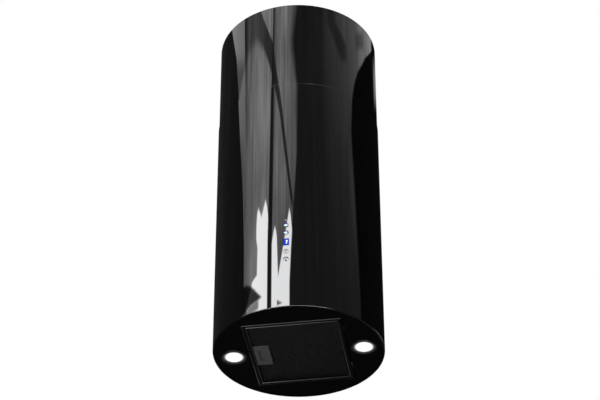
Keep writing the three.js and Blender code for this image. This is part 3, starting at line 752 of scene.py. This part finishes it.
def control_cutter():
    """Holes of the controls through the front of the lower tube, each with a small countersink."""
    bm = bmesh.new()
    steps = 64
    holes = [(BUTTON_HOLE, w) for w in BUTTON_HEIGHTS.values()] + [(STATUS_HOLE, STATUS_LIGHT_HEIGHT)]
    # Where along y the cutter's rings are, and how much wider than the hole: the sheet is at -TUBE_R.
    stations = ((-197, 0.14), (-TUBE_R + 0.02, 0.12), (-TUBE_R + 0.2, 0), (-186, 0))
    for radius, w in holes:
        rings = []
        for y, wider in stations:
            ring = circle((0, w), radius + wider, steps)
            rings.append([bm.verts.new(at(s, y, up)) for s, up in ring])
        bm.faces.new(rings[0])
        bm.faces.new(rings[-1])
        for one, two in zip(rings, rings[1:]):
            bridge(bm, one, two)
    box_bm(bm, (-7, -200, 161.5), (7, -186, 180.5))  # the display's window
    return closed("cutter", bm, MATERIALS["gloss_black"])


def make_tubes():
    # Lower tube: a sheet with a folded hem at its foot. Profiles are (radius, w), anticlockwise.
    inside, top, edge, lip = 194, 630, 1.3, 0.4
    hem_inside, hem_top = 191.5, 1.5
    profile = (
        [(hem_inside + lip, 0)]
        + arc((TUBE_R - edge, edge), edge, -90, 0, 18)
        + arc((TUBE_R - lip, top - lip), lip, 0, 90, 14)
        + arc((inside + lip, top - lip), lip, 90, 180, 4)
        + [(inside, hem_top)]
        + arc((hem_inside + lip, hem_top - lip), lip, 90, 180, 3)
        + arc((hem_inside + lip, lip), lip, 180, 270, 3)[:-1]
    )
    tube = from_bm("lower_tube_look", lathe_bm(profile, TUBE_STEPS), MATERIALS["gloss_black"])
    carve(tube, control_cutter())
    round_normals(tube)
    attach(tube, "lower_tube")

    outside, inside, foot, top, edge = 193.6, 192.6, 420, 880, 0.3
    profile = (
        arc((outside - lip, foot + lip), lip, -90, 0, 4)
        + arc((outside - edge, top - edge), edge, 0, 90, 4)
        + arc((inside + edge, top - edge), edge, 90, 180, 4)
        + arc((inside + lip, foot + lip), lip, 180, 270, 4)
    )
    tube = from_bm("upper_tube_look", lathe_bm(profile, TUBE_STEPS), MATERIALS["gloss_black"])
    round_normals(tube)
    attach(tube, "upper_tube")


# ---- Controls ----

CAP_FACE = TUBE_R + 0.12  # radius of the buttons' faces about the tube's axis
SCREEN_FACE = TUBE_R - 0.12


def on_tube(radius):
    """Maps (s, w) in millimetres, s along the arc, onto a round of that radius."""

    def place(point):
        s, w = point
        a = s / radius
        return at(radius * math.sin(a), -radius * math.cos(a), w)

    return place


def decal(name, outlines, material, body, radius=CAP_FACE):
    """Flat printed shapes on the front of the tube, as thin plates."""
    bm = bmesh.new()
    sunk, thick = 0.02, 0.06
    for outline in outlines:
        prism_bm(bm, outline, on_tube(radius - sunk), on_tube(radius + thick))
    obj = closed(name, bm, material)
    finish_mesh(obj, 40)
    return attach(obj, body=body)


def ring_part(centre, inner, outer, start, end, steps=20):
    """Outline of a piece of a ring, angles in degrees anticlockwise from +s."""
    return arc(centre, outer, start, end, steps) + arc(centre, inner, start, end, steps)[::-1]


def chevron(centre, half_wide, rise_by, thick):
    """Outline of a thin arrowhead that points up."""
    s, w = centre
    foot, tip = w - rise_by / 2, w + rise_by / 2
    lower = [(s - half_wide, foot), (s, tip), (s + half_wide, foot)]
    return lower + [(x, y + thick) for x, y in reversed(lower)]


def leaf(centre, reach, fat):
    """Outline of a plain leaf."""
    s, w = centre
    return [
        (s - reach, w),
        (s - reach * 0.3, w + fat),
        (s + reach * 0.7, w + fat * 0.6),
        (s + reach, w),
        (s + reach * 0.6, w - fat * 0.8),
        (s - reach * 0.3, w - fat),
    ]


def make_button(node, w):
    """A push button whose cap carries on the round of the tube."""
    radius, steps, rings = 6.2, 64, 6
    bm = bmesh.new()
    place = on_tube(CAP_FACE)
    levels = []
    for j in range(1, rings + 1):
        ring = circle((0, w), (radius - 0.15) * j / rings, steps)
        levels.append([bm.verts.new(place(point)) for point in ring])
    middle = bm.verts.new(place((0, w)))
    for i in range(steps):
        bm.faces.new((middle, levels[0][i], levels[0][(i + 1) % steps]))
    # Rounded edge and wall as (radius, depth behind the face), which follow the tube's round.
    for r, depth in ((radius - 0.05, 0.05), (radius, 0.2)):
        ring = circle((0, w), r, steps)
        levels.append([bm.verts.new(place(point) + Vector((0, depth * MM, 0))) for point in ring])
    # Foot of the wall, collar and the plunger behind, which are flat.
    for r, depth in ((radius, 2.0), (7.2, 2.0), (7.2, 3.0), (2.2, 3.0), (2.0, 3.2), (2.0, 6.3)):
        ring = circle((0, w), r, steps)
        levels.append([bm.verts.new(at(s, -TUBE_R + depth, up)) for s, up in ring])
    for one, two in zip(levels, levels[1:]):
        bridge(bm, one, two)
    bm.faces.new(levels[-1])
    obj = closed(node + "_look", bm, MATERIALS["gloss_black_plastic"])
    finish_mesh(obj)
    # The cap mirrors as the tube does.
    mesh = obj.data
    corner = [Vector(c.vector) for c in mesh.corner_normals]
    for polygon in mesh.polygons:
        out = Vector((polygon.center.x, polygon.center.y, 0)).normalized()
        if polygon.normal.dot(out) > 0.999:
            for index in polygon.loop_indices:
                point = mesh.vertices[mesh.loops[index].vertex_index].co
                corner[index] = Vector((point.x, point.y, 0)).normalized()
    mesh.normals_split_custom_set(corner)
    attach(obj, node)


def make_symbols():
    # Lit symbols: plain leaf shapes, white with blue edges; the green arcs beside them are painted glints,
    # highlights drawn as glowing green.
    c = (0, 217)
    blue = [ring_part(c, 3.6, 5.6, 20, 120), ring_part(c, 4.2, 5.2, 150, 172)]
    decal("symbol_power_blue", blue, PRINT_BLUE, "power_button")
    decal("symbol_power_painted_glint", [ring_part(c, 3.2, 5.8, 235, 345)], PAINTED_GLINT_GREEN, "power_button")
    decal("symbol_power_white", [leaf((-0.8, 217.2), 4.3, 2.7)], PRINT_WHITE, "power_button")

    c = (0, 196.5)
    blue = [ring_part(c, 3.5, 5.6, -42, 96), ring_part(c, 4.4, 5.2, 150, 175)]
    decal("symbol_up_blue", blue, PRINT_BLUE, "speed_up_button")
    decal("symbol_up_painted_glint", [ring_part(c, 4.0, 5.0, 215, 285)], PAINTED_GLINT_GREEN, "speed_up_button")
    decal("symbol_up_white", [leaf((-1.2, 196.6), 3.9, 2.2)], PRINT_WHITE, "speed_up_button")

    # Printed symbols: nested arcs, one over an arrowhead and one over a dot.
    arcs = [ring_part((0, 145), 4.2, 5.7, 30, 150), ring_part((0, 142.8), 3.2, 4.4, 35, 145)]
    decal("symbol_down_grey", arcs + [chevron((0, 141.4), 2.3, 1.3, 1.1)], PRINT_GREY, "speed_down_button")
    arcs = [ring_part((0, 124.6), 3.9, 5.8, 8, 172), ring_part((0, 122.6), 2.6, 3.6, 40, 140)]
    decal("symbol_light_pale", arcs + [circle((0, 121.4), 2.0, 20)], PRINT_PALE, "light_button")


def make_display():
    """A lit window flush with the tube, a plain slanted figure on it and the housing behind."""
    half, low, high, columns = 6.7, 161.8, 180.2, 12
    across = [half * (2 * i / columns - 1) for i in range(columns + 1)]
    bm = bmesh.new()
    rows = []
    for place in (on_tube(SCREEN_FACE), on_tube(TUBE_R - 2.9)):
        for w in (low, high):
            rows.append([bm.verts.new(place((s, w))) for s in across])
    front_low, front_high, back_low, back_high = rows
    around = (front_low, front_high, back_high, back_low)
    for i in range(columns):
        for j in range(4):
            one, two = around[j], around[(j + 1) % 4]
            bm.faces.new((one[i], one[i + 1], two[i + 1], two[i]))
    for i in (0, columns):
        bm.faces.new([row[i] for row in around])
    screen = closed("display_screen", bm, MATERIALS["display_blue"])
    finish_mesh(screen, 30, 0.25, 3)
    attach(screen, body="hood")

    figure = [
        (-0.6, 166.2),
        (2.1, 166.2),
        (4.3, 176.2),
        (0.4, 176.2),
        (-1.9, 173.6),
        (0.2, 173.4),
        (1.1, 173.9),
    ]
    decal("display_figure", [figure], PRINT_WHITE, "hood", SCREEN_FACE)

    corners = (-8.7, -192.0, 159.8), (8.7, -186.95, 182.2)
    housing = box("display_module_look", *corners, MATERIALS["black_plastic"])
    finish_mesh(housing, 32, 0.4, 3)
    attach(housing, "display_module")


def make_controls():
    for node, w in BUTTON_HEIGHTS.items():
        make_button(node, w)
    make_symbols()
    make_display()
    dot = surface("status_dot", (0.3, 0.33, 0.36), 0.4, grain=2000, bump=0.00001)
    refined("status_light", 0.15, material=dot)


# ---- Underside: base panel and lamps ----

LAMP_X = 148.5
LAMP_STEPS = 96
# Strength of the light at distances from the lamp's middle in mm.
LENS_GLOW = [
    (0, 3.0),
    (15.5, 2.5),
    (17, 1.5),
    (18.2, 1.0),
    (19.6, 0.62),
    (20.7, 0.36),
    (21.8, 0.17),
    (23, 0.07),
    (24.5, 0.022),
]
# Painted glow on the bezel: the lens's light painted onto the rim as emission, fading outwards, in the same
# units.
RIM_PAINTED_GLOW = [(24, 0.03), (26, 0.012), (28, 0.004), (30, 0.0)]


def make_lamp(side, x):
    # Bezel: a flange with a rounded outer edge, and a sleeve up through the panel.
    rim = (
        [(24.3, 1.0), (24.7, 0.6)]
        + arc((29.5, 1.1), 0.5, -90, 0, 4)
        + [(30, 1.7), (27.4, 1.7), (27.4, 14), (25.6, 14), (25.6, 1.4), (24.3, 1.4)]
    )
    # The bezel's material carries a painted glow, emission fading outwards from the lens.
    material = lamp_part(f"lamp_rim_{side}", x, 0.0025, 0.004, 0.15, RIM_PAINTED_GLOW)
    bezel = from_bm(f"lamp_bezel_{side}_look", lathe_bm(rim, LAMP_STEPS, x), material)
    round_normals(bezel, x)
    attach(bezel, f"lamp_bezel_{side}")
    # Frosted lens, bulging down a little in its middle.
    radius, back, face, bulge, rings = 25.1, 3.6, 1.75, 0.25, 10
    shares = [i / rings for i in range(rings + 1)]
    dome = [(radius * t, face + bulge * t**2) for t in shares] + [(radius, back), (0, back)]
    material = lamp_part(f"lamp_lens_{side}", x, 0.006, 0.01, 0.3, LENS_GLOW)
    lens = from_bm(f"lamp_lens_{side}_look", lathe_bm(dome, LAMP_STEPS, x), material)
    finish_mesh(lens, 40)
    attach(lens, f"lamp_lens_{side}")
    refined(f"lamp_heatsink_{side}", 0.3)
    refined(f"lamp_clip_{side}", 0.1)


def make_base():
    refined("base_panel", 0.45, segments=3)
    make_lamp("left", -LAMP_X)
    make_lamp("right", LAMP_X)


# ---- Grease filter ----

FILTER_X, FILTER_Y, RAIL = 111.5, 127.5, 12.0  # half width, half depth and width of the rails


def make_filter_frame():
    """A folded channel round the mesh pack: rounded outside, lips hemmed inside, mitred at the corners."""
    low, high, wall, corner, hem = 0.2, 9.2, 1.2, 1.5, 0.6
    # Section in (distance in from the outside, w), anticlockwise about the metal.
    section = (
        arc((corner, low + corner), corner, 180, 270, 6)
        + [(RAIL - 3.4, low), (RAIL - 2.8, low + 0.35), (RAIL - 2.2, low)]
        + arc((RAIL - hem, low + hem), hem, -90, 90, 6)
        + [(2.2, low + wall), (wall, low + wall + 0.6), (wall, high - wall - 0.6), (2.2, high - wall)]
        + arc((RAIL - hem, high - hem), hem, -90, 90, 6)
        + [(corner, high)]
        + arc((corner, high - corner), corner, 90, 180, 5)[1:]
    )
    bm = bmesh.new()
    loops = []
    for sx, sy in ((-1, -1), (1, -1), (1, 1), (-1, 1)):
        places = [at(sx * (FILTER_X - d), sy * (FILTER_Y - d), w) for d, w in section]
        loops.append([bm.verts.new(point) for point in places])
    for i in range(4):
        bridge(bm, loops[i], loops[(i + 1) % 4])
    rails = closed("filter_frame_look", bm, MATERIALS["filter_black"])
    # The latch tongue's channel through the left rail.
    channel = (-FILTER_X - 1, -7.5, 4.7), (-FILTER_X + 3, 7.5, 7.9)
    carve(rails, box("cutter", *channel, MATERIALS["filter_black"]))
    finish_mesh(rails, 28)
    attach(rails, "filter_frame")


def blocked(x, y, reach_x, reach_y):
    """Whether a point of a mesh lies in the latch, in its tongue's channel or past the sheet's edges."""
    in_latch = -99.6 < x < -63.6 and abs(y) < 39.9
    in_channel = x < -98 and abs(y) < 8.2
    return in_latch or in_channel or abs(x) > reach_x or abs(y) > reach_y


def strand_bm(bm, start, end, width, heights):
    """A slanted strip between two points; heights are of its left side's foot and top, then its right's."""
    (x0, y0), (x1, y1) = start, end
    length = math.hypot(x1 - x0, y1 - y0)
    nx, ny = -(y1 - y0) / length * width / 2, (x1 - x0) / length * width / 2
    left_foot, left_top, right_foot, right_top = heights
    ends = []
    for x, y in (start, end):
        places = [
            at(x + nx, y + ny, left_foot),
            at(x + nx, y + ny, left_top),
            at(x - nx, y - ny, right_top),
            at(x - nx, y - ny, right_foot),
        ]
        ends.append([bm.verts.new(point) for point in places])
    bridge(bm, *ends)
    bm.faces.new(ends[0])
    bm.faces.new(ends[1])


def expanded_sheet(node, low, high, cell, strand, material, tilt=0.5, shift=0.0):
    """Expanded metal: a lattice of slanted strands, open round the latch."""
    step_x, step_y = cell
    reach_x, reach_y = FILTER_X - 1.6, FILTER_Y - 1.6
    columns, rows = int(2 * reach_x / step_x), int(2 * reach_y / step_y)
    mid, half = (low + high) / 2, (high - low) / 2
    lean, thick = half * tilt, half * (1 - tilt)
    bm = bmesh.new()

    def point(a, b):
        return -reach_x + 0.4 + shift + a * step_x, -reach_y + 0.4 + b * step_y

    for a in range(columns):
        for b in range(a % 2, rows + 1, 2):
            for turn in (-1, 1):
                start, end = point(a, b), point(a + 1, b + turn)
                inside = 0 <= b + turn <= rows
                if inside and not blocked(*start, reach_x, reach_y) and not blocked(*end, reach_x, reach_y):
                    left, right = mid + lean * turn, mid - lean * turn
                    heights = (left - thick, left + thick, right - thick, right + thick)
                    strand_bm(bm, start, end, strand, heights)
    attach(closed(node + "_look", bm, material), node)


def make_filter_mesh():
    expanded_sheet("filter_face_mesh", 1.72, 2.48, (4.4, 2.9), 1.3, mesh_black())
    inner = surface("filter_inner", (0.06, 0.06, 0.062), 0.45, metallic=0.7)
    expanded_sheet("filter_core_mesh", 2.9, 6.5, (2.6, 2.1), 1.1, inner, 0.7, 0.9)
    expanded_sheet("filter_back_mesh", 6.92, 7.68, (2.9, 1.75), 0.95, inner, 0.5, 0.5)


def add_box(obj, low, high):
    carve(obj, box("box", low, high), "UNION")


def cut_box(obj, low, high):
    carve(obj, box("box", low, high))


def make_latch():
    # The housing's face reaches in over its pocket and leaves a smaller window.
    housing = cad_shape("latch_housing")
    add_box(housing, (-97.5, -26.5, 0.6), (-67.5, 26.5, 1.6))
    cut_box(housing, (-89.4, -20, 0), (-76.6, 22, 2))
    finish_mesh(housing, 32, 0.35, 3)
    attach(housing, "latch_housing")
    # The finger bar is cut back above the face, at its front end and on its left. A plate then fills
    # the window, but for a gap on its left and at its front end.
    slider = cad_shape("latch_slider")
    cut_box(slider, (-90, -26, 0), (-70, 26, 2.1))
    cut_box(slider, (-90, -26, 0), (-70, -17.6, 5))
    cut_box(slider, (-90, -26, 0), (-87.2, 26, 5))
    add_box(slider, (-87.2, -17.8, 1.9), (-76.6, 24, 3.4))
    finish_mesh(slider, 32, 0.3, 3)
    attach(slider, "latch_slider")
    # The spring, between the slider's bore and the end of its pocket, is kept as one fixed copy of its CAD
    # shape.
    spring = finish_mesh(cad_shape("latch_spring"))
    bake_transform(spring)
    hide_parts("latch_spring")
    done_nodes.add("latch_spring")


# ---- Everything else ----

BEVELS = {"fan_wheel": 0.12, "flap_pin": 0.2, "inlet_guard": 0.5, "cable_gland": 0.4}


def make_the_rest():
    for node in sorted(frame["nodes"]):
        if node not in done_nodes:
            refined(node, BEVELS.get(node, 0.35))


make_studio()
make_camera()
make_tubes()
make_controls()
make_base()
make_filter_frame()
make_filter_mesh()
make_latch()
make_the_rest()
